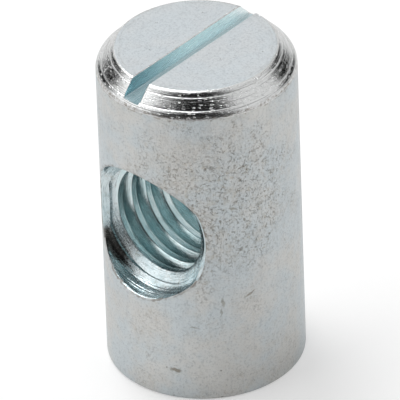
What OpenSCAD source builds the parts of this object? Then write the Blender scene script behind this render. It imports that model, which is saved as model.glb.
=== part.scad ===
// Barrel nut: a turned steel barrel with a tapped hole across it and a screwdriver slot in its end.
// Millimetres. The origin is the centre of the plain foot, +Z runs up the barrel to the slotted end,
// and the cross hole and the slot both run along Y.

/* [Barrel] */
// Diameter of the barrel
barrel_d = 12; // [11.6:0.1:14]
// Length from the plain foot to the slotted end
barrel_len = 21.5; // [19:0.5:30]
// Edge break round the foot
foot_break = 0.15; // [0.05:0.05:0.4]

/* [Turned end] */
// Width of the end chamfer, measured towards the axis
chamfer_w = 1.1; // [0.6:0.1:1.4]
// Height of the end chamfer, measured along the axis
chamfer_h = 1.2; // [0.8:0.1:1.6]
// Lower tool mark round the chamfer, as a share of its slope from the barrel up
lower_mark = 0.27; // [0.15:0.01:0.4]
// Upper tool mark round the chamfer, as a share of its slope from the barrel up
upper_mark = 0.76; // [0.6:0.01:0.85]
// How far a tool pass swells out past a straight cone, as a share of its width
pass_swell = 0.13; // [0.04:0.01:0.18]
// Reach of the rounded edge where the chamfer meets the barrel
barrel_edge = 0.2; // [0.05:0.01:0.25]
// Reach of the rounded edge where the chamfer meets the end face
face_edge = 0.12; // [0.05:0.01:0.2]

/* [Cross thread] */
// Height of the cross hole's axis above the foot
hole_z = 11.1; // [10.5:0.1:12]
// Tapping drill, which leaves the crests of the thread
drill_d = 6.8; // [6.6:0.05:6.9]
// Nominal diameter of the thread, across its roots
thread_d = 8; // [7.8:0.1:8.2]
// Distance from one turn to the next
thread_pitch = 1.25; // [1.1:0.05:1.5]

/* [Lead-in] */
// Drilled lead-in at each mouth of the hole
lead_d = 8.65; // [8.4:0.05:9]
// Depth of the lead-in below the barrel's crown, down to the first full crest
lead_depth = 2; // [1.5:0.1:2.5]
// Point angle of the drill that cuts the lead-in
point_angle = 110; // [90:1:130]

/* [Slot] */
// Width of the screwdriver slot
slot_w = 1.2; // [0.8:0.1:1.6]
// Depth of the screwdriver slot
slot_depth = 1; // [0.6:0.1:1.2]
// How far the saw cut of the slot lies off the middle of the barrel, towards +X
slot_shift = -0.12; // [-0.3:0.01:0.3]

/* [Hidden] */
$fn = 96;
barrel_r = barrel_d / 2;
drill_r = drill_d / 2;
thread_r = thread_d / 2;
lead_r = lead_d / 2;
face_r = barrel_r - chamfer_w;
// Cutters run past the faces they break through by this much
overrun = 1;
// The three tool passes of the chamfer end at these shares of its slope
pass_ends = [0, lower_mark, upper_mark, 1];
// Straight lengths in the swell of one pass, and in each rounded edge
pass_sides = 5;
edge_sides = 4;
// Half the angle between the flanks of a metric thread
flank_angle = 30;
// Flat at the root of each turn
root_w = thread_pitch / 8;
// The groove cutter's open side lies this far inside the crests
groove_rise = 0.2;
groove_in_r = drill_r - groove_rise;
groove_in_w = root_w + 2 * (thread_r - groove_in_r) * tan(flank_angle);
// Height of the drill point's cone, from the crests out to the lead-in's wall
point_h = (lead_r - drill_r) / tan(point_angle / 2);
// The crests end this far from the middle of the hole, at the bottom of each lead-in
crest_end = barrel_r - lead_depth;
// Turns between the lead-ins, the same number on each side of the middle
turn_count = 2 * floor(crest_end / thread_pitch);

// A point on the chamfer's slope, moved outwards square to it, as [radius, height]
function slope_point(along, out) = [
    barrel_r - along * chamfer_w + out * chamfer_h,
    barrel_len - (1 - along) * chamfer_h + out * chamfer_w
];

// Outline of one chamfer pass, from just above its lower edge up to its upper edge
function pass_points(pass) =
    let (low = pass_ends[pass])
    let (wide = pass_ends[pass + 1] - low)
    [
        for (side = [1 : pass_sides])
        slope_point(low + wide * side / pass_sides, wide * pass_swell * sin(180 * side / pass_sides))
    ];

// A corner between two outline points, rounded over the given reach on each side
function rounded_corner(before, corner, after, reach) =
    let (start = corner + (before - corner) / norm(before - corner) * reach)
    let (end = corner + (after - corner) / norm(after - corner) * reach)
    [
        for (side = [0 : edge_sides])
        let (s = side / edge_sides)
        start * (1 - s) ^ 2 + corner * 2 * s * (1 - s) + end * s ^ 2
    ];

module turned_blank() {
    foot_corner = [barrel_r, 0];
    barrel_corner = [barrel_r, barrel_len - chamfer_h];
    face_corner = [face_r, barrel_len];
    passes = [for (pass = [0 : len(pass_ends) - 2]) each pass_points(pass)];
    // The passes show between the two rounded edges
    slope = [
        for (p = passes)
        if (norm(p - barrel_corner) > barrel_edge && norm(p - face_corner) > face_edge)
        p
    ];
    rotate_extrude()
        polygon(concat(
            [[0, 0]],
            rounded_corner([0, 0], foot_corner, barrel_corner, foot_break),
            rounded_corner(foot_corner, barrel_corner, slope[0], barrel_edge),
            slope,
            rounded_corner(slope[len(slope) - 1], face_corner, [0, barrel_len], face_edge),
            [[0, barrel_len]]
        ));
}

// One turn of the thread as a closed ring groove of the thread's own section
module turn_groove() {
    rotate_extrude()
        polygon([
            [groove_in_r, -groove_in_w / 2],
            [thread_r, -root_w / 2],
            [thread_r, root_w / 2],
            [groove_in_r, groove_in_w / 2],
        ]);
}

// Drilled lead-in with the drill's own point at its bottom
module lead_in() {
    translate([0, 0, crest_end])
        rotate_extrude()
            polygon([
                [0, -drill_r / tan(point_angle / 2)],
                [lead_r, point_h],
                [lead_r, lead_depth + overrun],
                [0, lead_depth + overrun],
            ]);
}

// Tapped cross hole, drawn along Z through the middle of the barrel
module tapped_hole() {
    cylinder(h = barrel_d + 2 * overrun, r = drill_r, center = true);
    for (turn = [0 : turn_count - 1])
        translate([0, 0, (turn - (turn_count - 1) / 2) * thread_pitch])
            turn_groove();
    lead_in();
    mirror([0, 0, 1])
        lead_in();
}

module screwdriver_slot() {
    translate([slot_shift - slot_w / 2, -barrel_r - overrun, barrel_len - slot_depth])
        cube([slot_w, barrel_d + 2 * overrun, slot_depth + overrun]);
}

module barrel_nut() {
    color("lightsteelblue")
        difference() {
            turned_blank();
            translate([0, 0, hole_z])
                rotate([90, 0, 0])
                    tapped_hole();
            screwdriver_slot();
        }
}

barrel_nut();
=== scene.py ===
# Barrel nut: a plated steel barrel with a tapped cross hole and a slotted, turned end.
# The CAD model is the frame. One finer mesh stands in for it, with a finish for each machined area.
from math import pi, sin, cos, tan, sqrt, radians

import bpy
import bmesh
import numpy as np
from mathutils import Matrix, Vector


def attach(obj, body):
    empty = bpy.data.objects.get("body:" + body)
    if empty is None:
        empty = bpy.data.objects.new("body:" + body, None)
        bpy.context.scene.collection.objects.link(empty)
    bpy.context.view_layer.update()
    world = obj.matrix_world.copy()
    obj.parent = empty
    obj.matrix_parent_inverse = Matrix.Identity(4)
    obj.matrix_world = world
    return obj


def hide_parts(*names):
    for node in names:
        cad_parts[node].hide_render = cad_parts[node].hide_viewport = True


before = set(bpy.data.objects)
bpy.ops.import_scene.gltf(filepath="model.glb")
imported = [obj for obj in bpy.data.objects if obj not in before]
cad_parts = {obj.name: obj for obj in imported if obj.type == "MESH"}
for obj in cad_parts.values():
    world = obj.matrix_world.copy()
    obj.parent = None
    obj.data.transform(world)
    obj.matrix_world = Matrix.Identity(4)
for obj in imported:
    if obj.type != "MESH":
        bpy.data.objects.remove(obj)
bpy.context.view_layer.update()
print("frame loaded")

mm = 0.001

# Sizes in millimetres, the same as the CAD model's
nut = {
    "radius": 6.0,
    "length": 21.5,
    "footBreak": 0.15,
    "chamferWidth": 1.1,
    "chamferHeight": 1.2,
    "barrelEdge": 0.2,
    "faceEdge": 0.12,
    "holeHeight": 11.1,
    "crestRadius": 3.4,
    "rootRadius": 4.0,
    "pitch": 1.25,
    "flankAngle": 30.0,
    "startAngle": 85.0,
    "leadRadius": 4.325,
    "leadDepth": 2.0,
    "leadPointAngle": 110.0,
    "slotWidth": 1.2,
    "slotDepth": 1.0,
    "slotShift": -0.12,
}

# Edge rounding and how fine the mesh is. The pitch columns are places across half a turn of thread, measured
# from the middle of its groove and closest at its rounded edges
fineness = {
    "rimRound": 0.16,
    "rimReach": 0.29,
    "rimSteps": 4,
    "slotRound": 0.06,
    "crestRound": 0.035,
    "rootRound": 0.03,
    "leadRound": 0.3,
    "spokesTop": 60,
    "spokesSide": 36,
    "patchLoops": 12,
    "patchGrowth": 1.5,
    "pitchColumns": [0.0, 0.045, 0.078, 0.105, 0.14, 0.2, 0.27, 0.335, 0.375, 0.4, 0.425, 0.45, 0.49, 0.56],
    "helixHalf": 3.45,
    "turnsEachWay": 4,
    "endColumns": 88,
    "holeBandHalf": 6.5,
    "bandMargin": 1.4,
    "faceRings": (0.97, 0.85, 0.65, 0.4, 0.15),
    "footEdge": [(0.0, 1.3), (0.08, 0.85), (0.85, 0.08), (1.3, 0.0)],      # in and up, in foot breaks
    "footRings": (0.8, 0.4),
    "slotCorner": 0.07,
    "slotOverrun": 0.6,
    "slotColumns": 221,
    "outlineStep": 0.01,
    "cornerSteps": 8,
    "sharpAngle": 42,
}

# Tool passes across the chamfer: where each ends (0 at the barrel, 1 at the face), how far each swells as a
# share of its width, the grooves between them, and the fine scores that the tool left round them
turning = {
    "passEnds": [0.0, 0.27, 0.76, 1.0],
    "passSwells": [0.05, 0.012, 0.045],
    "passGroove": 0.014,
    "passGrooveWidth": 0.035,
    "scoreCount": 26,
    "scoreDepth": 0.004,
    "scoreWidth": 0.018,
    "seed": 7,
}

# Ring marks that the drill left on the lead-ins, by depth from the nut's axis: fine ones on the cone and
# coarse ones on the straight part
leadMarks = {
    "fine": {"from": 3.95, "to": 4.75, "count": 12, "depth": 0.012, "width": 0.045},
    "coarse": {"from": 4.7, "to": 5.85, "count": 16, "depth": 0.036, "width": 0.055},
    "seed": 11,
}


def roundedCorner(before, corner, after, reach):
    before, corner, after = (np.array(p, float) for p in (before, corner, after))
    start = corner + (before - corner) / np.linalg.norm(before - corner) * reach
    end = corner + (after - corner) / np.linalg.norm(after - corner) * reach
    shares = np.linspace(0, 1, fineness["cornerSteps"] + 1)
    return [tuple(start * (1 - s) ** 2 + corner * 2 * s * (1 - s) + end * s ** 2) for s in shares]


def chamferOutline():
    # radius and height pairs from the barrel up to the end face
    rng = np.random.default_rng(turning["seed"])
    width, height = nut["chamferWidth"], nut["chamferHeight"]
    slant = sqrt(width ** 2 + height ** 2)
    outR, outZ = height / slant, width / slant      # unit normal of the straight cone
    scores = rng.uniform(0.06, 0.95, turning["scoreCount"])
    depths = turning["scoreDepth"] * (0.2 + rng.uniform(0, 1, turning["scoreCount"]) ** 2.5)
    ends = turning["passEnds"]
    along = np.arange(0, 1, fineness["outlineStep"] / slant)
    swell = np.zeros_like(along)
    for first, last, rise in zip(ends[:-1], ends[1:], turning["passSwells"]):
        share = np.clip((along - first) / (last - first), 0, 1)
        swell += rise * (last - first) * slant * np.sin(pi * share)
    for place, depth in zip(scores, depths):
        swell -= depth * np.exp(-((along - place) * slant / turning["scoreWidth"]) ** 2)
    for place in ends[1:-1]:
        off = (along - place) * slant / turning["passGrooveWidth"]
        swell -= turning["passGroove"] * np.exp(-off ** 2)
    radii = nut["radius"] - along * width + swell * outR
    heights = nut["length"] - (1 - along) * height + swell * outZ
    barrelCorner = (nut["radius"], nut["length"] - height)
    faceCorner = (nut["radius"] - width, nut["length"])
    fromBarrel = np.hypot(radii - barrelCorner[0], heights - barrelCorner[1])
    fromFace = np.hypot(radii - faceCorner[0], heights - faceCorner[1])
    shown = (fromBarrel > nut["barrelEdge"]) & (fromFace > nut["faceEdge"])
    slope = list(zip(radii[shown], heights[shown]))
    points = roundedCorner((nut["radius"], 0), barrelCorner, slope[0], nut["barrelEdge"])
    points += slope
    points += roundedCorner(slope[-1], faceCorner, (0, nut["length"]), nut["faceEdge"])
    return points


def surfaceHeight(distance, outline):
    # height of the turned end at a distance from the barrel's axis
    radii = [p[0] for p in outline][::-1]
    heights = [p[1] for p in outline][::-1]
    return float(np.interp(distance, radii, heights))


def softMax(a, b, k):
    h = np.clip(0.5 + 0.5 * (a - b) / k, 0, 1)
    return b + (a - b) * h + k * h * (1 - h)


def softMin(a, b, k):
    return -softMax(-a, -b, k)


def leadRadiusAt(x):
    flare = tan(radians(nut["leadPointAngle"] / 2))
    crestEnd = nut["radius"] - nut["leadDepth"]
    cone = nut["crestRadius"] + (np.abs(x) - crestEnd) * flare
    inside = softMin(cone, np.full_like(cone, nut["leadRadius"]), fineness["leadRound"])
    return softMax(inside, np.full_like(cone, nut["crestRadius"]), fineness["crestRound"])


def leadScoresAt(x):
    rng = np.random.default_rng(leadMarks["seed"])
    total = np.zeros_like(x)
    for facing in (1, -1):
        for marks in (leadMarks["fine"], leadMarks["coarse"]):
            places = rng.uniform(marks["from"], marks["to"], marks["count"])
            depths = marks["depth"] * rng.uniform(-0.7, 1.0, marks["count"])
            widths = marks["width"] * rng.uniform(0.7, 1.5, marks["count"])
            for place, depth, width in zip(places, depths, widths):
                total += depth * np.exp(-((x * facing - place) / width) ** 2)
    return total


def scoredLeadAt(x):
    return leadRadiusAt(x) + leadScoresAt(x)


def grooveRadiusAt(x, angle):
    pitch = nut["pitch"]
    centre = pitch * (angle - radians(nut["startAngle"])) / (2 * pi)
    off = np.abs((x - centre + pitch / 2) % pitch - pitch / 2)
    rootHalf = pitch / 16
    flank = nut["rootRadius"] - (off - rootHalf) / tan(radians(nut["flankAngle"]))
    return softMin(flank, np.full_like(flank, nut["rootRadius"]), fineness["rootRound"])


def holeRadiusAt(x, angle):
    return softMax(scoredLeadAt(x), grooveRadiusAt(x, angle), fineness["crestRound"])


def rimDepth(angle):
    # distance along the hole's axis at which its wall meets the barrel
    low, high = 0.0, nut["radius"]
    for _ in range(48):
        mid = (low + high) / 2
        wall = float(leadRadiusAt(np.array([mid]))[0])
        if mid ** 2 + (wall * cos(angle)) ** 2 < nut["radius"] ** 2:
            low = mid
        else:
            high = mid
    return low


def pitchColumns():
    half = fineness["pitchColumns"]
    return sorted([-v for v in half[1:]] + half + [nut["pitch"] / 2])


class MeshParts:
    def __init__(self):
        self.points = []
        self.faces = []

    def addPoints(self, points):
        first = len(self.points)
        self.points.extend(points)
        return list(range(first, len(self.points)))

    def bridge(self, ringA, ringB, closed=True):
        count = len(ringA)
        last = count if closed else count - 1
        for i in range(last):
            j = (i + 1) % count
            self.faces.append((ringA[i], ringA[j], ringB[j], ringB[i]))

    def fan(self, ring, centre):
        for i in range(len(ring)):
            self.faces.append((ring[i], ring[(i + 1) % len(ring)], centre))

    def zip(self, lineA, placesA, lineB, placesB):
        # triangles between two lines of points that run the same way with different spacing
        i = j = 0
        while i < len(lineA) - 1 or j < len(lineB) - 1:
            nextA = placesA[i + 1] if i < len(lineA) - 1 else np.inf
            nextB = placesB[j + 1] if j < len(lineB) - 1 else np.inf
            if nextA <= nextB:
                self.faces.append((lineA[i], lineA[i + 1], lineB[j]))
                i += 1
            else:
                self.faces.append((lineA[i], lineB[j + 1], lineB[j]))
                j += 1


def holePoint(x, radius, angle):
    return (radius * cos(angle), -x, nut["holeHeight"] + radius * sin(angle))


def spokeAngles():
    count = 2 * (fineness["spokesTop"] + fineness["spokesSide"])
    start = 180.0 * fineness["spokesSide"] / (count / 2) / 2      # angle of the first corner spoke
    return [radians(start) + 2 * pi * i / count for i in range(count)]


def bandEdge(index):
    # where a spoke ends on the edge of the half barrel around a mouth, as arc length and height
    top, side = fineness["spokesTop"], fineness["spokesSide"]
    wide, tall = nut["radius"] * pi / 2, fineness["holeBandHalf"]
    index %= 2 * (top + side)
    if index <= top:
        return wide - 2 * wide * index / top, tall
    if index <= top + side:
        return -wide, tall - 2 * tall * (index - top) / side
    if index <= 2 * top + side:
        return -wide + 2 * wide * (index - top - side) / top, -tall
    return wide, -tall + 2 * tall * (index - 2 * top - side) / side


def addMouth(parts, facing, angles, wallRing):
    # rim rounding and the half barrel around one mouth; facing is 1 for -Y and -1 for +Y
    r, rounding = nut["radius"], fineness["rimRound"]
    lines = []
    for i, angle in enumerate(angles):
        depth = rimDepth(angle)
        rim = float(leadRadiusAt(np.array([depth]))[0])
        insideX = depth - fineness["rimReach"]
        insideR = float(scoredLeadAt(np.array([insideX * facing]))[0])
        inner = Vector(holePoint(insideX, insideR, angle))
        corner = Vector(holePoint(depth, rim, angle))
        outR = rim + rounding
        outX = sqrt(r ** 2 - (outR * cos(angle)) ** 2)
        outer = Vector(holePoint(outX, outR, angle))
        line = []
        for k in range(1, fineness["rimSteps"] + 1):
            s = k / fineness["rimSteps"]
            line.append(inner * (1 - s) ** 2 + corner * 2 * s * (1 - s) + outer * s ** 2)
        startU = r * np.arcsin(outR * cos(angle) / r)
        startV = outR * sin(angle)
        endU, endV = bandEdge(i)
        for k in range(1, fineness["patchLoops"] + 1):
            s = (k / fineness["patchLoops"]) ** fineness["patchGrowth"]
            u = startU + (endU - startU) * s
            v = startV + (endV - startV) * s
            line.append(Vector((r * sin(u / r), -r * cos(u / r), nut["holeHeight"] + v)))
        lines.append([(p.x, p.y * facing, p.z) for p in line])
    before = wallRing
    for k in range(len(lines[0])):
        ring = parts.addPoints([line[k] for line in lines])
        parts.bridge(before, ring)
        before = ring


def addHoleWall(parts, angles):
    pitch, far = nut["pitch"], fineness["turnsEachWay"]
    columns = []
    for turn in range(-far, far + 1):
        columns += [turn * pitch + c for c in pitchColumns()]
    columns = sorted(set(round(c, 5) for c in columns))
    columns = [c for c in columns if abs(c) <= fineness["helixHalf"]]
    count = len(angles)
    ends = fineness["endColumns"]
    lines, places = [], []
    for i, angle in enumerate(angles):
        # columns follow the helix; the seam is where the last spoke meets the first
        shift = pitch * ((angle - radians(nut["startAngle"])) / (2 * pi))
        middle = pitch * ((angles[0] + pi - radians(nut["startAngle"])) / (2 * pi))
        drift = shift - middle
        base = middle - round(middle / pitch) * pitch
        aligned = [c + drift + base for c in columns]
        depth = rimDepth(angle) - fineness["rimReach"]
        front = [aligned[-1] + (depth - aligned[-1]) * k / ends for k in range(1, ends + 1)]
        back = [aligned[0] + (-depth - aligned[0]) * k / ends for k in range(ends, 0, -1)]
        x = np.array(back + aligned + front)
        wall = holeRadiusAt(x, angle)
        wall[0] = scoredLeadAt(x[:1])[0]
        wall[-1] = scoredLeadAt(x[-1:])[0]
        lines.append(parts.addPoints([holePoint(a, b, angle) for a, b in zip(x, wall)]))
        places.append(x)
    for i in range(count - 1):
        parts.bridge(lines[i], lines[i + 1], closed=False)
    parts.zip(lines[-1], places[-1], lines[0], places[0])
    return [line[-1] for line in lines], [line[0] for line in lines]


def addTurnedRings(parts, outline):
    # rings of the barrel above and below the band that holds the hole
    r, step = nut["radius"], pi / fineness["spokesTop"]
    turns = [k * step for k in range(2 * fineness["spokesTop"])]

    def ringAt(radius, height):
        return parts.addPoints([(radius * sin(a), -radius * cos(a), height) for a in turns])

    bandTop = nut["holeHeight"] + fineness["holeBandHalf"]
    bandLow = nut["holeHeight"] - fineness["holeBandHalf"]
    rings = [ringAt(r, bandTop), ringAt(r, bandTop + fineness["bandMargin"])]
    rings += [ringAt(radius, height) for radius, height in outline]
    faceRadius = outline[-1][0]
    rings += [ringAt(faceRadius * s, nut["length"]) for s in fineness["faceRings"]]
    for a, b in zip(rings[:-1], rings[1:]):
        parts.bridge(a, b)
    parts.fan(rings[-1], parts.addPoints([(0, 0, nut["length"])])[0])

    cut = nut["footBreak"]
    foot = [(r, bandLow), (r, bandLow / 2)]
    foot += [(r - cut * inwards, cut * up) for inwards, up in fineness["footEdge"]]
    foot += [(r * s, 0) for s in fineness["footRings"]]
    rings = [ringAt(radius, height) for radius, height in foot]
    for a, b in zip(rings[:-1], rings[1:]):
        parts.bridge(a, b)
    parts.fan(rings[-1], parts.addPoints([(0, 0, 0)])[0])


def meshFrom(parts, name):
    mesh = bpy.data.meshes.new(name)
    mesh.from_pydata([tuple(c * mm for c in p) for p in parts.points], [], parts.faces)
    body = bmesh.new()
    body.from_mesh(mesh)
    bmesh.ops.remove_doubles(body, verts=body.verts, dist=2e-8)
    bmesh.ops.recalc_face_normals(body, faces=body.faces)
    openEdges = sum(1 for e in body.edges if not e.is_manifold)
    body.to_mesh(mesh)
    body.free()
    print(name, "faces", len(mesh.polygons), "open edges", openEdges)
    item = bpy.data.objects.new(name, mesh)
    bpy.context.scene.collection.objects.link(item)
    return item


def slotCutter(outline):
    # a trough along Y whose lips flare out where they meet the turned end
    half, f, shift = nut["slotWidth"] / 2, fineness["slotRound"], nut["slotShift"]
    floor = nut["length"] - nut["slotDepth"]
    above = nut["length"] + 1.0
    corner = fineness["slotCorner"]
    parts = MeshParts()
    reach = nut["radius"] + fineness["slotOverrun"]
    rings = []
    for y in np.linspace(-reach, reach, fineness["slotColumns"]):
        lip = surfaceHeight(sqrt(half ** 2 + y ** 2), outline)
        top = max(lip, floor + corner + f + 0.02)
        side = [
            (half - corner, floor), (half - corner * 0.3, floor + corner * 0.3), (half, floor + corner),
            (half, top - f), (half + 0.33 * f, top - 0.28 * f), (half + 1.4 * f, top + 0.2 * f),
            (half + 1.4 * f, above),
        ]
        section = side + [(-a, b) for a, b in reversed(side)]
        rings.append(parts.addPoints([(a + shift, float(y), b) for a, b in section]))
    for a, b in zip(rings[:-1], rings[1:]):
        parts.bridge(a, b)
    parts.faces.append(tuple(rings[0]))
    parts.faces.append(tuple(rings[-1]))
    return meshFrom(parts, "slotCutter")


def cutSlot(item, outline):
    cutter = slotCutter(outline)
    cut = item.modifiers.new("slot", "BOOLEAN")
    cut.operation = "DIFFERENCE"
    cut.solver = "EXACT"
    cut.object = cutter
    bpy.context.view_layer.update()
    graph = bpy.context.evaluated_depsgraph_get()
    cutMesh = bpy.data.meshes.new_from_object(item.evaluated_get(graph))
    item.modifiers.clear()
    item.data = cutMesh
    cutterMesh = cutter.data
    bpy.data.objects.remove(cutter)
    bpy.data.meshes.remove(cutterMesh)


def buildNut():
    outline = chamferOutline()
    angles = spokeAngles()
    parts = MeshParts()
    frontRing, backRing = addHoleWall(parts, angles)
    addMouth(parts, 1, angles, frontRing)
    addMouth(parts, -1, angles, backRing)
    addTurnedRings(parts, outline)
    item = meshFrom(parts, "platedNut")
    cutSlot(item, outline)
    return item


def markRimGap(item):
    # how far each point lies outside the mouth's edge, for the grime that sits along it
    angles = np.linspace(0, pi / 2, 91)
    rims = [float(leadRadiusAt(np.array([rimDepth(a)]))[0]) for a in angles]
    places = np.empty(len(item.data.vertices) * 3)
    item.data.vertices.foreach_get("co", places)
    places = places.reshape(-1, 3) / mm
    fromHole = np.hypot(places[:, 0], places[:, 2] - nut["holeHeight"])
    turned = np.arctan2(np.abs(places[:, 2] - nut["holeHeight"]), np.abs(places[:, 0]))
    gaps = fromHole - np.interp(turned, angles, rims)
    gaps[np.hypot(places[:, 0], places[:, 1]) < nut["radius"] - 0.3] = 9.0
    made = item.data.attributes.new("rimGap", "FLOAT", "POINT")
    made.data.foreach_set("value", gaps)


# Places of the colour sockets on a Mix node
mixA, mixB, mixResult = 6, 7, 2


class Nodes:
    # short ways to make the few kinds of node that the finishes share
    def __init__(self, tree):
        self.tree = tree

    def make(self, kind, **settings):
        node = self.tree.nodes.new(kind)
        for name, value in settings.items():
            setattr(node, name, value)
        return node

    def feed(self, socket, value):
        if isinstance(value, bpy.types.NodeSocket):
            self.tree.links.new(value, socket)
        else:
            socket.default_value = value

    def math(self, operation, a, b=0.0, clamp=False):
        node = self.make("ShaderNodeMath", operation=operation, use_clamp=clamp)
        self.feed(node.inputs[0], a)
        self.feed(node.inputs[1], b)
        return node.outputs[0]

    def product(self, *values):
        total = values[0]
        for value in values[1:]:
            total = self.math("MULTIPLY", total, value)
        return total

    def distance(self, a, b):
        squares = self.math("ADD", self.math("MULTIPLY", a, a), self.math("MULTIPLY", b, b))
        return self.math("SQRT", squares)

    def vector(self, operation, a, b):
        node = self.make("ShaderNodeVectorMath", operation=operation)
        self.feed(node.inputs[0], a)
        self.feed(node.inputs[1], b)
        return node.outputs["Value" if operation in ("DOT_PRODUCT", "DISTANCE") else "Vector"]

    def remap(self, value, low, high, outLow=0.0, outHigh=1.0):
        node = self.make("ShaderNodeMapRange", interpolation_type="SMOOTHSTEP")
        for index, number in enumerate((value, low, high, outLow, outHigh)):
            self.feed(node.inputs[index], number)
        return node.outputs[0]

    def noise(self, place, scale, detail=3.0, rough=0.55):
        node = self.make("ShaderNodeTexNoise")
        self.feed(node.inputs["Vector"], place)
        node.inputs["Scale"].default_value = scale
        node.inputs["Detail"].default_value = detail
        node.inputs["Roughness"].default_value = rough
        return node

    def cells(self, place, scale):
        node = self.make("ShaderNodeTexVoronoi")
        self.feed(node.inputs["Vector"], place)
        node.inputs["Scale"].default_value = scale
        return node

    def mix(self, share, a, b):
        node = self.make("ShaderNodeMix", data_type="RGBA", clamp_factor=True)
        self.feed(node.inputs["Factor"], share)
        self.feed(node.inputs[mixA], a if isinstance(a, bpy.types.NodeSocket) else (*a, 1))
        self.feed(node.inputs[mixB], b if isinstance(b, bpy.types.NodeSocket) else (*b, 1))
        return node.outputs[mixResult]

    def shade(self, color, share, tone):
        # the colour pulled towards a darker tone of itself
        node = self.make("ShaderNodeMix", data_type="RGBA", blend_type="MULTIPLY", clamp_factor=True)
        self.feed(node.inputs["Factor"], share)
        self.feed(node.inputs[mixA], color)
        self.feed(node.inputs[mixB], (*tone, 1))
        return node.outputs[mixResult]

    def millimetres(self):
        place = self.make("ShaderNodeTexCoord").outputs["Object"]
        return self.vector("MULTIPLY", place, (1 / mm, 1 / mm, 1 / mm))

    def split(self, place):
        node = self.make("ShaderNodeSeparateXYZ")
        self.feed(node.inputs[0], place)
        return node.outputs[0], node.outputs[1], node.outputs[2]

    def stirred(self, place, scale, reach):
        # the place pushed about by a noise, which breaks up even shapes
        push = self.vector("SUBTRACT", self.noise(place, scale, 2.0).outputs["Color"], (0.5, 0.5, 0.5))
        return self.vector("ADD", place, self.vector("MULTIPLY", push, (reach, reach, reach)))

    def specks(self, place, scale, share, small, large):
        # spots in some of the cells of a Voronoi, each of its own size
        cell = self.cells(place, scale)
        red, green, _ = self.split(cell.outputs["Color"])
        reach = self.math("ADD", small * scale, self.math("MULTIPLY", green, (large - small) * scale))
        spot = self.remap(cell.outputs["Distance"], reach, self.math("MULTIPLY", reach, 0.45))
        return self.math("MULTIPLY", spot, self.math("LESS_THAN", red, share))

    def curls(self, place, scale, thin, amount):
        # short curved scratches: stretches of the lines along which a noise crosses its middle value
        field = self.noise(place, scale, 1.0, 0.5).outputs[0]
        line = self.remap(self.math("ABSOLUTE", self.math("SUBTRACT", field, 0.5)), thin, thin * 0.3)
        broken = self.remap(self.noise(place, scale * 1.6, 2.0).outputs[0], 0.5, 0.57)
        return self.product(line, broken, amount)

    def relief(self, height, depth, normal=None):
        node = self.make("ShaderNodeBump")
        node.inputs["Strength"].default_value = 1.0
        node.inputs["Distance"].default_value = depth * mm
        self.feed(node.inputs["Height"], height)
        if normal is not None:
            self.feed(node.inputs["Normal"], normal)
        return node.outputs[0]


def newFinish(name, metallic):
    made = bpy.data.materials.new(name)
    made.use_nodes = True
    shader = made.node_tree.nodes["Principled BSDF"]
    shader.inputs["Metallic"].default_value = metallic
    return made, shader, Nodes(made.node_tree)


# Wear on the barrel. Angles run from -Y towards +X, heights from the foot, in degrees and millimetres
barrelWear = {
    "cool": (0.65, 0.70, 0.72),
    "warm": (0.70, 0.70, 0.68),
    "grime": (0.46, 0.44, 0.41),
    "rust": (0.54, 0.47, 0.39),
    "stain": (0.82, 0.76, 0.68),
    "blush": (0.84, 0.79, 0.72),
    "drawn": (0.80, 0.81, 0.82),
    "grain": (0.74, 0.75, 0.76),
    "markTone": (0.42, 0.37, 0.30),
    "rimGrime": (0.36, 0.31, 0.27),
    "lipGrimeAndDarkReflection": (0.55, 0.50, 0.45),
    "metallic": 0.92,
    "rough": (0.34, 0.46),
    "pitDepth": 0.03,
    "grainDepth": 0.035,
    "pittedAt": (52, 13.8),
    "pittedReach": 7.5,
    "marks": [
        {"at": (23.6, 2.07), "long": 0.36, "wide": 0.13, "tilt": -8, "depth": 0.8},
        {"at": (35.6, 5.27), "long": 0.26, "wide": 0.04, "tilt": -6, "depth": 0.7},
        {"at": (68.5, 7.2), "long": 0.42, "wide": 0.06, "tilt": 28, "depth": 0.7},
        {"at": (52.1, 7.0), "long": 0.1, "wide": 0.35, "tilt": 6, "depth": 0.55},
        {"at": (51.0, 6.3), "long": 0.07, "wide": 0.3, "tilt": -4, "depth": 0.5},
        {"at": (77.0, 13.4), "long": 0.3, "wide": 0.12, "tilt": 10, "depth": 0.45},
        {"at": (60.0, 13.6), "long": 0.32, "wide": 0.07, "tilt": -20, "depth": 0.6},
        {"at": (66.0, 16.4), "long": 0.3, "wide": 0.06, "tilt": 12, "depth": 0.55},
        {"at": (196.0, 8.0), "long": 0.4, "wide": 0.06, "tilt": 35, "depth": 0.6},
        {"at": (255.0, 15.0), "long": 0.3, "wide": 0.1, "tilt": -15, "depth": 0.6},
    ],
}


def addMarks(nodes, place, marks):
    # small worn ellipses at chosen places round the barrel
    total = None
    loose = nodes.stirred(place, 3.5, 0.25)
    for mark in marks:
        turn, height = radians(mark["at"][0]), mark["at"][1]
        outward = Vector((sin(turn), -cos(turn), 0))
        across = Vector((cos(turn), sin(turn), 0))
        rising = Vector((0, 0, 1))
        lean = radians(mark["tilt"])
        along = (across * cos(lean) + rising * sin(lean)) / mark["long"]
        square = (rising * cos(lean) - across * sin(lean)) / mark["wide"]
        gap = nodes.vector("SUBTRACT", loose, tuple(outward * nut["radius"] + rising * height))
        u = nodes.vector("DOT_PRODUCT", gap, tuple(along))
        v = nodes.vector("DOT_PRODUCT", gap, tuple(square))
        spread = nodes.math("ADD", nodes.math("MULTIPLY", u, u), nodes.math("MULTIPLY", v, v))
        near = nodes.math("GREATER_THAN", nodes.vector("DOT_PRODUCT", place, tuple(outward)), 0.0)
        spot = nodes.product(nodes.remap(spread, 1.6, 0.3), near, mark["depth"])
        total = spot if total is None else nodes.math("MAXIMUM", total, spot)
    return total


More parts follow.
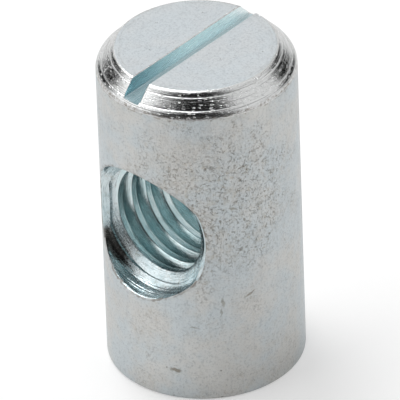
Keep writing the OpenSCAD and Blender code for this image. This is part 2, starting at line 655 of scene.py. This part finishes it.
def barrelSatin():
    wear = barrelWear
    made, shader, nodes = newFinish("barrelSatin", wear["metallic"])
    place = nodes.millimetres()
    turn, height = radians(wear["pittedAt"][0]), wear["pittedAt"][1]
    centre = (nut["radius"] * sin(turn), -nut["radius"] * cos(turn), height)
    near = nodes.remap(nodes.vector("DISTANCE", place, centre), wear["pittedReach"], 2.0)
    patches = nodes.remap(nodes.noise(place, 0.55, 4.0, 0.6).outputs[0], 0.4, 0.66)
    near, patches = nodes.math("MULTIPLY", near, 0.75), nodes.math("MULTIPLY", patches, 0.45)
    worn = nodes.math("ADD", near, patches, True)

    clouds = nodes.remap(nodes.noise(place, 0.3, 4.0, 0.62).outputs[0], 0.36, 0.64)
    color = nodes.mix(clouds, wear["cool"], wear["warm"])
    drawn = nodes.noise(nodes.vector("MULTIPLY", place, (1.0, 1.0, 0.12)), 2.4, 3.0)
    color = nodes.shade(color, nodes.remap(drawn.outputs[0], 0.5, 0.8, 0.0, 0.35), wear["drawn"])
    grain = nodes.noise(place, 7.0, 4.0, 0.7)
    color = nodes.shade(color, nodes.remap(grain.outputs[0], 0.47, 0.72), wear["grain"])
    blush = nodes.remap(nodes.noise(place, 1.5, 4.0, 0.65).outputs[0], 0.52, 0.68)
    color = nodes.shade(color, nodes.product(blush, worn, 0.5), wear["blush"])

    # spots and curls gather where the barrel is worn, and a few stray spots lie anywhere
    loose = nodes.stirred(place, 5.0, 0.16)
    fine = nodes.product(nodes.specks(loose, 4.2, 0.45, 0.03, 0.07), nodes.remap(worn, 0.2, 0.9))
    broad = nodes.product(nodes.specks(loose, 1.7, 0.5, 0.05, 0.14), nodes.remap(worn, 0.25, 0.9))
    curls = nodes.curls(place, 3.2, 0.05, nodes.remap(worn, 0.15, 0.8))
    upright = nodes.vector("MULTIPLY", place, (1.0, 1.0, 0.45))
    hair = nodes.curls(upright, 5.5, 0.06, nodes.remap(worn, 0.1, 0.7))
    stray = nodes.product(nodes.specks(loose, 1.1, 0.2, 0.04, 0.09), 0.8)
    marks = addMarks(nodes, place, wear["marks"])
    pits = nodes.math("MAXIMUM", nodes.math("MAXIMUM", fine, broad), nodes.math("MAXIMUM", curls, stray))
    stained = nodes.remap(nodes.noise(place, 2.6, 4.0, 0.7).outputs[0], 0.54, 0.68)
    color = nodes.shade(color, nodes.product(stained, worn, 0.75), wear["stain"])
    layers = [(hair, 0.4, "grime"), (curls, 0.4, "rust"), (fine, 0.55, "grime")]
    layers += [(stray, 0.8, "grime"), (broad, 0.7, "rust")]
    for layer, strength, tone in layers:
        color = nodes.shade(color, nodes.product(layer, strength), wear[tone])
    color = nodes.shade(color, marks, wear["markTone"])

    # grime and a painted dark reflection under the turned end's lip, and grime along the mouths' edges
    _, _, z = nodes.split(place)
    lip = nut["length"] - nut["chamferHeight"]
    uneven = nodes.remap(nodes.noise(place, 3.0, 4.0, 0.7).outputs[0], 0.35, 0.7, -0.15, 0.25)
    # painted dark reflection mixed with grime: a ragged darker band just below the lip
    underLip = nodes.remap(nodes.math("ADD", z, uneven), lip - 0.2, lip, 0.0, 0.75)
    color = nodes.shade(color, underLip, wear["lipGrimeAndDarkReflection"])
    rim = nodes.make("ShaderNodeAttribute", attribute_name="rimGap").outputs["Fac"]
    frayed = nodes.remap(nodes.noise(place, 3.5, 3.0).outputs[0], 0.35, 0.65, -0.1, 0.06)
    edge = nodes.remap(nodes.math("ADD", rim, frayed), 0.17, 0.04)
    outside = nodes.math("GREATER_THAN", rim, -0.02)
    thick = nodes.remap(nodes.noise(place, 1.3, 2.0).outputs[0], 0.35, 0.62, 0.3, 0.95)
    color = nodes.shade(color, nodes.product(edge, outside, thick, 0.8), wear["rimGrime"])
    nodes.feed(shader.inputs["Base Color"], color)

    rough = nodes.remap(nodes.noise(place, 1.8, 4.0, 0.6).outputs[0], 0.3, 0.7, *wear["rough"])
    nodes.feed(shader.inputs["Roughness"], nodes.math("ADD", rough, nodes.math("MULTIPLY", pits, 0.2)))
    surface = nodes.relief(nodes.math("MULTIPLY", pits, -1.0), wear["pitDepth"])
    nodes.feed(shader.inputs["Normal"], nodes.relief(grain.outputs[0], wear["grainDepth"], surface))
    return made


endFaceLook = {
    "cool": (0.59, 0.635, 0.66),
    "warm": (0.605, 0.635, 0.65),
    "grain": (0.74, 0.75, 0.76),
    "brushed": (0.84, 0.85, 0.86),
    "specks": (0.5, 0.5, 0.5),
    "rings": (0.78, 0.77, 0.75),
    "metallic": 0.75,
    "rough": (0.33, 0.41),
    "speckDepth": 0.02,
    "grainDepth": 0.016,
}


def endFaceMatt():
    look = endFaceLook
    made, shader, nodes = newFinish("endFaceMatt", look["metallic"])
    place = nodes.millimetres()
    ringwise, fromAxis = ringPlace(nodes, place, 3.0, 9.0)
    clouds = nodes.remap(nodes.noise(place, 0.4, 3.0, 0.6).outputs[0], 0.36, 0.64)
    color = nodes.mix(clouds, look["cool"], look["warm"])
    grain = nodes.noise(place, 9.0, 4.0, 0.75)
    color = nodes.shade(color, nodes.remap(grain.outputs[0], 0.46, 0.68), look["grain"])
    lengthwise = nodes.vector("MULTIPLY", nodes.stirred(place, 0.8, 0.3), (3.2, 0.7, 1.0))
    brushed = nodes.remap(nodes.noise(lengthwise, 3.0, 3.0).outputs[0], 0.52, 0.7, 0.0, 0.7)
    color = nodes.shade(color, brushed, look["brushed"])
    loose = nodes.stirred(place, 5.0, 0.16)
    specks = nodes.specks(loose, 2.0, 0.35, 0.03, 0.08)
    color = nodes.shade(color, nodes.math("MULTIPLY", specks, 0.6), look["specks"])
    rings = nodes.remap(nodes.noise(ringwise, 1.0, 2.0).outputs[0], 0.5, 0.62)
    nearEdge = nodes.remap(fromAxis, 4.2, 4.8)
    color = nodes.shade(color, nodes.product(rings, nearEdge, 0.6), look["rings"])
    nodes.feed(shader.inputs["Base Color"], color)
    nodes.feed(shader.inputs["Roughness"], nodes.remap(grain.outputs[0], 0.35, 0.7, *look["rough"]))
    surface = nodes.relief(nodes.math("MULTIPLY", specks, -1.0), look["speckDepth"])
    nodes.feed(shader.inputs["Normal"], nodes.relief(grain.outputs[0], look["grainDepth"], surface))
    return made


def ringPlace(nodes, place, roundScale, crossScale):
    # stretched round the axis: the direction from the axis turns slowly, radius and height run fast
    x, y, z = nodes.split(place)
    fromAxis = nodes.distance(x, y)
    slope = nodes.math("SUBTRACT", z, fromAxis)
    made = nodes.make("ShaderNodeCombineXYZ")
    nodes.feed(made.inputs[0], nodes.math("MULTIPLY", nodes.math("DIVIDE", x, fromAxis), roundScale))
    nodes.feed(made.inputs[1], nodes.math("MULTIPLY", nodes.math("DIVIDE", y, fromAxis), roundScale))
    nodes.feed(made.inputs[2], nodes.math("MULTIPLY", slope, crossScale))
    return made.outputs[0], fromAxis


chamferLook = {
    "bright": (0.80, 0.81, 0.81),
    "torn": (0.70, 0.71, 0.71),
    "scored": (0.72, 0.71, 0.69),
    "specks": (0.40, 0.38, 0.36),
    "lines": (0.48, 0.48, 0.47),
    "grimeAndDarkReflection": (0.45, 0.40, 0.35),
    "rough": (0.09, 0.18),
    "scoreDepth": 0.012,
    "lineDepth": 0.008,
    "tornDepth": 0.008,
    "fleckDepth": 0.015,
}


def chamferBright():
    look = chamferLook
    made, shader, nodes = newFinish("chamferBright", 1.0)
    place = nodes.millimetres()
    ringwise, _ = ringPlace(nodes, place, 7.0, 9.0)
    scored = nodes.noise(ringwise, 1.0, 4.0, 0.75)
    torn = nodes.noise(place, 8.0, 4.0, 0.75)
    longwise, _ = ringPlace(nodes, place, 1.3, 15.0)
    lines = nodes.noise(longwise, 1.0, 3.0, 0.7)
    color = nodes.mix(nodes.remap(torn.outputs[0], 0.4, 0.65), look["bright"], look["torn"])
    color = nodes.shade(color, nodes.remap(scored.outputs[0], 0.52, 0.7, 0.0, 0.6), look["scored"])
    loose = nodes.stirred(place, 5.0, 0.16)
    specks = nodes.specks(loose, 2.2, 0.35, 0.03, 0.08)
    color = nodes.shade(color, nodes.math("MULTIPLY", specks, 0.35), look["specks"])
    color = nodes.shade(color, nodes.remap(lines.outputs[0], 0.54, 0.66), look["lines"])
    # brown grime at the chamfer's lower lip, thick enough to darken the lip's band: partly grime, partly
    # painted dark reflection
    _, _, z = nodes.split(place)
    lip = nut["length"] - nut["chamferHeight"] - 0.03
    nearLip = nodes.remap(nodes.math("ABSOLUTE", nodes.math("SUBTRACT", z, lip)), 0.15, 0.04)
    grimeAndDarkReflection = nodes.remap(nodes.noise(place, 4.5, 3.0, 0.7).outputs[0], 0.42, 0.62)
    color = nodes.shade(color, nodes.product(nearLip, grimeAndDarkReflection, 0.8), look["grimeAndDarkReflection"])
    nodes.feed(shader.inputs["Base Color"], color)
    nodes.feed(shader.inputs["Roughness"], nodes.remap(torn.outputs[0], 0.35, 0.7, *look["rough"]))
    stretched, _ = ringPlace(nodes, nodes.stirred(place, 9.0, 0.1), 14.0, 5.0)
    flecks = nodes.specks(stretched, 1.6, 0.42, 0.1, 0.38)
    surface = nodes.relief(scored.outputs[0], look["scoreDepth"])
    surface = nodes.relief(lines.outputs[0], look["lineDepth"], surface)
    surface = nodes.relief(torn.outputs[0], look["tornDepth"], surface)
    sunk = nodes.math("MULTIPLY", flecks, -1.0)
    nodes.feed(shader.inputs["Normal"], nodes.relief(sunk, look["fleckDepth"], surface))
    return made


# The slot's walls go from a deep tone at the -Y end to a light one past the middle: painted shade at the -Y end
# and painted reflection past the middle, not a change in the metal
slotLookWithPaintedShade = {
    "deep": (0.45, 0.62, 0.66),
    "light": (0.89, 0.99, 1.0),
    "floor": (0.56, 0.66, 0.69),
    "milled": (0.92, 0.95, 0.96),
    "grain": (0.90, 0.93, 0.94),
    "rough": (0.2, 0.34),
    "millDepth": 0.014,
    "grainDepth": 0.006,
}


def slotGloss():
    look = slotLookWithPaintedShade
    made, shader, nodes = newFinish("slotGloss", 1.0)
    place = nodes.millimetres()
    _, y, z = nodes.split(place)
    floor = nut["length"] - nut["slotDepth"]
    # painted shade and reflection: the walls are darker at the -Y end and lighter past the middle
    walls = nodes.mix(nodes.remap(y, -5.5, 1.5), look["deep"], look["light"])
    color = nodes.mix(nodes.remap(z, floor + 0.01, floor + 0.08), look["floor"], walls)
    milled = nodes.noise(nodes.vector("MULTIPLY", place, (6.0, 0.35, 6.0)), 1.6, 4.0, 0.65)
    color = nodes.shade(color, nodes.remap(milled.outputs[0], 0.45, 0.7), look["milled"])
    grain = nodes.noise(place, 5.0, 3.0, 0.6)
    color = nodes.shade(color, nodes.remap(grain.outputs[0], 0.55, 0.75, 0.0, 0.6), look["grain"])
    nodes.feed(shader.inputs["Base Color"], color)
    nodes.feed(shader.inputs["Roughness"], nodes.remap(milled.outputs[0], 0.35, 0.65, *look["rough"]))
    surface = nodes.relief(milled.outputs[0], look["millDepth"])
    nodes.feed(shader.inputs["Normal"], nodes.relief(grain.outputs[0], look["grainDepth"], surface))
    return made


# The hole has two finishes: bright bluish plating on the thread, and greyer, rougher lead-ins. Light and deep
# are its two tones, and streak and the tones of dirt and specks darken them
threadLook = {
    "light": (0.74, 0.85, 0.86),
    "deep": (0.64, 0.79, 0.81),
    "streak": (0.74, 0.79, 0.79),
    "rough": (0.14, 0.26),
    "rings": 0.010,
    "grain": 0.005,
    "specks": 0.35,
    "dirt": 0.1,
    "dirtTone": (0.62, 0.54, 0.47),
    "speckTone": (0.42, 0.40, 0.37),
}
leadLook = {
    "light": (0.68, 0.76, 0.78),
    "deep": (0.56, 0.67, 0.70),
    "streak": (0.50, 0.55, 0.56),
    "rough": (0.16, 0.30),
    "rings": 0.020,
    "grain": 0.010,
    "specks": 0.6,
    "dirt": 0.5,
    "dirtTone": (0.62, 0.54, 0.47),
    "speckTone": (0.42, 0.40, 0.37),
}

# A black-brown patch on one side of the front lead-in, partly caked grime and partly a painted dark reflection:
# its middle and half sizes in millimetres
leadGrimeAndDarkReflection = {
    "at": (-3.12, -4.62, 8.3),
    "half": (1.35, 0.42, 1.5),
    "tone": (0.20, 0.165, 0.145),
    "thick": 0.88,
}


def boreFinish(name, look):
    made, shader, nodes = newFinish(name, 1.0)
    place = nodes.millimetres()
    x, y, z = nodes.split(place)
    drop = nodes.math("SUBTRACT", z, nut["holeHeight"])
    fromHole = nodes.distance(x, drop)
    alongWall = nodes.math("ADD", nodes.math("ABSOLUTE", y), fromHole)
    around = nodes.make("ShaderNodeCombineXYZ")      # stretched round the hole's axis
    nodes.feed(around.inputs[0], nodes.math("MULTIPLY", nodes.math("DIVIDE", x, fromHole), 3.0))
    nodes.feed(around.inputs[1], nodes.math("MULTIPLY", nodes.math("DIVIDE", drop, fromHole), 3.0))
    nodes.feed(around.inputs[2], nodes.math("MULTIPLY", alongWall, 8.0))
    turned = nodes.noise(around.outputs[0], 1.0, 4.0, 0.7)
    torn = nodes.noise(place, 6.5, 4.0, 0.7)
    tint = nodes.remap(nodes.noise(place, 0.9, 3.0).outputs[0], 0.38, 0.62)
    color = nodes.mix(tint, look["deep"], look["light"])
    color = nodes.shade(color, nodes.remap(turned.outputs[0], 0.5, 0.68, 0.0, 0.9), look["streak"])
    dirt = nodes.remap(nodes.noise(place, 1.7, 4.0, 0.7).outputs[0], 0.52, 0.7, 0.0, look["dirt"])
    color = nodes.shade(color, dirt, look["dirtTone"])
    specks = nodes.specks(nodes.stirred(place, 5.0, 0.16), 2.8, 0.4, 0.03, 0.08)
    color = nodes.shade(color, nodes.math("MULTIPLY", specks, look["specks"]), look["speckTone"])
    # painted dark reflection and grime: a black-brown patch on one side of the front lead-in
    gap = nodes.vector("SUBTRACT", nodes.stirred(place, 2.4, 0.5), leadGrimeAndDarkReflection["at"])
    spread = nodes.vector("DISTANCE", nodes.vector("DIVIDE", gap, leadGrimeAndDarkReflection["half"]), (0, 0, 0))
    grimeAndDarkReflection = nodes.math("MULTIPLY", nodes.remap(spread, 1.1, 0.75), leadGrimeAndDarkReflection["thick"])
    color = nodes.shade(color, grimeAndDarkReflection, leadGrimeAndDarkReflection["tone"])
    nodes.feed(shader.inputs["Base Color"], color)
    nodes.feed(shader.inputs["Roughness"], nodes.remap(torn.outputs[0], 0.35, 0.7, *look["rough"]))
    surface = nodes.relief(turned.outputs[0], look["rings"])
    nodes.feed(shader.inputs["Normal"], nodes.relief(torn.outputs[0], look["grain"], surface))
    return made


# How far the machined areas reach past the sharp edges of the plain form, in millimetres
areaMargins = {
    "slotBeside": 0.02,
    "slotBelow": 0.01,
    "slotLip": 0.08,
    "faceBelow": 0.004,
    "faceInside": 0.06,
    "chamferBelow": 0.16,
    "holeBeside": 0.03,
    "barrelInside": 0.02,
    "leadBehind": 0.3,
}


def areaOf(centre):
    # which machined area a face belongs to; the top edges of the slot's walls are bright like the chamfer
    margins = areaMargins
    x, y, z = (c / mm for c in centre)
    fromAxis = sqrt(x * x + y * y)
    floor = nut["length"] - nut["slotDepth"]
    beside = abs(x - nut["slotShift"]) - nut["slotWidth"] / 2
    if beside < margins["slotBeside"] and z > floor - margins["slotBelow"]:
        overCone = max(0, fromAxis - nut["radius"] + nut["chamferWidth"])
        top = nut["length"] - overCone * nut["chamferHeight"] / nut["chamferWidth"]
        return "chamfer" if z > top - margins["slotLip"] else "slot"
    faceRadius = nut["radius"] - nut["chamferWidth"] - margins["faceInside"]
    if z > nut["length"] - margins["faceBelow"] and fromAxis < faceRadius:
        return "endFace"
    if z > nut["length"] - nut["chamferHeight"] - margins["chamferBelow"]:
        return "chamfer"
    fromHole = sqrt(x * x + (z - nut["holeHeight"]) ** 2)
    inside = fromAxis < nut["radius"] - margins["barrelInside"]
    if fromHole < nut["leadRadius"] + margins["holeBeside"] and inside:
        behind = nut["radius"] - nut["leadDepth"] - margins["leadBehind"]
        return "leadIns" if abs(y) > behind else "thread"
    return "barrel"


def dressNut(item):
    finishes = {
        "barrel": barrelSatin(),
        "endFace": endFaceMatt(),
        "chamfer": chamferBright(),
        "slot": slotGloss(),
        "thread": boreFinish("threadGloss", threadLook),
        "leadIns": boreFinish("leadInBright", leadLook),
    }
    for finish in finishes.values():
        item.data.materials.append(finish)
    slots = {area: index for index, area in enumerate(finishes)}
    item.data.set_sharp_from_angle(angle=radians(fineness["sharpAngle"]))
    for face in item.data.polygons:
        area = areaOf(face.center)
        face.material_index = slots[area]
        face.use_smooth = area != "endFace"      # it stays dead flat


# The camera stands at an angle round from -Y, looking down; sizes in millimetres and degrees
view = {
    "azimuth": 41.88,
    "elevation": 34.37,
    "distance": 638.4,
    "roll": -2.08,
    "lens": 961.8,
    "aimRight": -0.0742,
    "aimUp": -0.281,
}


def placeCamera():
    turn, rise = radians(view["azimuth"]), radians(view["elevation"])
    outward = Vector((sin(turn) * cos(rise), -cos(turn) * cos(rise), sin(rise)))
    right = Vector((cos(turn), sin(turn), 0))
    up = outward.cross(right)
    roll = radians(view["roll"])
    right, up = right * cos(roll) + up * sin(roll), up * cos(roll) - right * sin(roll)
    middle = Vector((0, 0, nut["length"] / 2))
    place = middle + outward * view["distance"]
    aim = middle + right * view["aimRight"] + up * view["aimUp"]
    back = (place - aim).normalized()
    right = (right - back * right.dot(back)).normalized()
    up = back.cross(right)
    data = bpy.data.cameras.new("studioCamera")
    data.lens = view["lens"]
    data.clip_start = 0.05
    data.clip_end = 10
    camera = bpy.data.objects.new("studioCamera", data)
    bpy.context.scene.collection.objects.link(camera)
    turned = Matrix((right, up, back)).transposed().to_4x4()
    camera.matrix_world = Matrix.Translation(place * mm) @ turned
    bpy.context.scene.camera = camera


# A white studio, in which reflections see pale walls and these soft screens. Directions are degrees round from
# the camera's side (positive to its right) and up from the floor; wide and tall are half sizes, and soft is the
# blur of the edge
studio = {
    "walls": 0.83,
    "screens": {
        "darkSide": {"round": -6, "up": 16, "wide": 47, "tall": 61, "soft": 3, "level": 0.02},
        "darkFoot": {"round": -6, "up": -14, "wide": 47, "tall": 36, "soft": 4, "level": 0.09},
        "leftScreen": {"round": -82, "up": 36, "wide": 27, "tall": 34, "soft": 5, "level": 1.35},
        "rightScreen": {"round": 75, "up": 38, "wide": 32, "tall": 34, "soft": 5, "level": 0.78},
        "leftGap": {"round": -128, "up": 10, "wide": 20, "tall": 22, "soft": 4, "level": 0.0},
        "rightGap": {"round": 128, "up": 10, "wide": 20, "tall": 22, "soft": 4, "level": 0.0},
    },
    "keyPower": 1.5,
    "keySize": 0.34,
    "keyRound": -142,
    "keyUp": 64,
    "keyDistance": 0.6,
    "floorGlow": 0.42,
    "floorMirrored": 0.24,
    "floorTone": 0.63,
    "floorHalf": 3.0,
    "floorFront": 0.075,
}


def sideways(roundAngle):
    turn = radians(view["azimuth"] + roundAngle)
    return Vector((sin(turn), -cos(turn), 0)), Vector((cos(turn), sin(turn), 0))


def paintWorld():
    world = bpy.data.worlds.new("studioWorld")
    bpy.context.scene.world = world
    world.use_nodes = True
    nodes = Nodes(world.node_tree)
    toward = nodes.make("ShaderNodeTexCoord").outputs["Generated"]
    _, _, rise = nodes.split(toward)
    up = nodes.math("DEGREES", nodes.math("ARCSINE", rise))
    level = studio["walls"]
    for screen in studio["screens"].values():
        front, side = sideways(screen["round"])
        across = nodes.vector("DOT_PRODUCT", toward, tuple(side))
        ahead = nodes.vector("DOT_PRODUCT", toward, tuple(front))
        off = nodes.math("ABSOLUTE", nodes.math("DEGREES", nodes.math("ARCTAN2", across, ahead)))
        high = nodes.math("ABSOLUTE", nodes.math("SUBTRACT", up, screen["up"]))
        wide, tall, soft = screen["wide"], screen["tall"], screen["soft"]
        inside = nodes.product(nodes.remap(off, wide + soft, wide - soft),
                               nodes.remap(high, tall + soft, tall - soft))
        beside = nodes.math("MULTIPLY", level, nodes.math("SUBTRACT", 1.0, inside))
        level = nodes.math("ADD", beside, nodes.math("MULTIPLY", inside, screen["level"]))
    seen = nodes.make("ShaderNodeLightPath").outputs["Is Camera Ray"]
    unseen = nodes.math("SUBTRACT", 1.0, seen)
    strength = nodes.math("MAXIMUM", seen, nodes.math("MULTIPLY", level, unseen))      # white to the camera
    background = world.node_tree.nodes["Background"]
    nodes.feed(background.inputs["Strength"], strength)
    background.inputs["Color"].default_value = (1, 1, 1, 1)


def hangKeyLamp():
    outward, _ = sideways(studio["keyRound"])
    rise = radians(studio["keyUp"])
    toward = outward * cos(rise) + Vector((0, 0, sin(rise)))
    data = bpy.data.lights.new("keyLamp", "AREA")
    data.shape = "DISK"
    data.size = studio["keySize"]
    data.energy = studio["keyPower"]
    lamp = bpy.data.objects.new("keyLamp", data)
    bpy.context.scene.collection.objects.link(lamp)
    lamp.location = toward * studio["keyDistance"]
    lamp.rotation_euler = toward.to_track_quat("Z", "Y").to_euler()


def layFloor():
    # the floor ends a little way in front of the nut, so that its lower parts mirror the dark side beyond it
    half, ahead = studio["floorHalf"], studio["floorFront"]
    front, side = sideways(0)
    places = ((ahead, -half), (ahead, half), (-half, half), (-half, -half))
    corners = [front * a + side * b for a, b in places]
    mesh = bpy.data.meshes.new("studioFloor")
    mesh.from_pydata([tuple(c) for c in corners], [], [(0, 1, 2, 3)])
    floor = bpy.data.objects.new("studioFloor", mesh)
    bpy.context.scene.collection.objects.link(floor)
    made, shader, nodes = newFinish("floorPaper", 0.0)
    tone = studio["floorTone"]
    shader.inputs["Base Color"].default_value = (tone, tone, tone, 1)
    shader.inputs["Roughness"].default_value = 0.9
    shader.inputs["Specular IOR Level"].default_value = 0.0
    shader.inputs["Emission Color"].default_value = (1, 1, 1, 1)
    light = nodes.make("ShaderNodeLightPath")
    seen = nodes.math("MULTIPLY", light.outputs["Is Camera Ray"], studio["floorGlow"])
    mirrored = nodes.math("MAXIMUM", light.outputs["Is Glossy Ray"], light.outputs["Is Transmission Ray"])
    mirrored = nodes.math("MULTIPLY", mirrored, studio["floorMirrored"])
    nodes.feed(shader.inputs["Emission Strength"], nodes.math("MAXIMUM", seen, mirrored))
    mesh.materials.append(made)


platedNut = buildNut()
markRimGap(platedNut)
dressNut(platedNut)
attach(platedNut, "root")
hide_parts("barrel_nut")
print("nut built")

placeCamera()
paintWorld()
hangKeyLamp()
layFloor()
bpy.context.scene.view_settings.view_transform = "Standard"
print("studio ready")
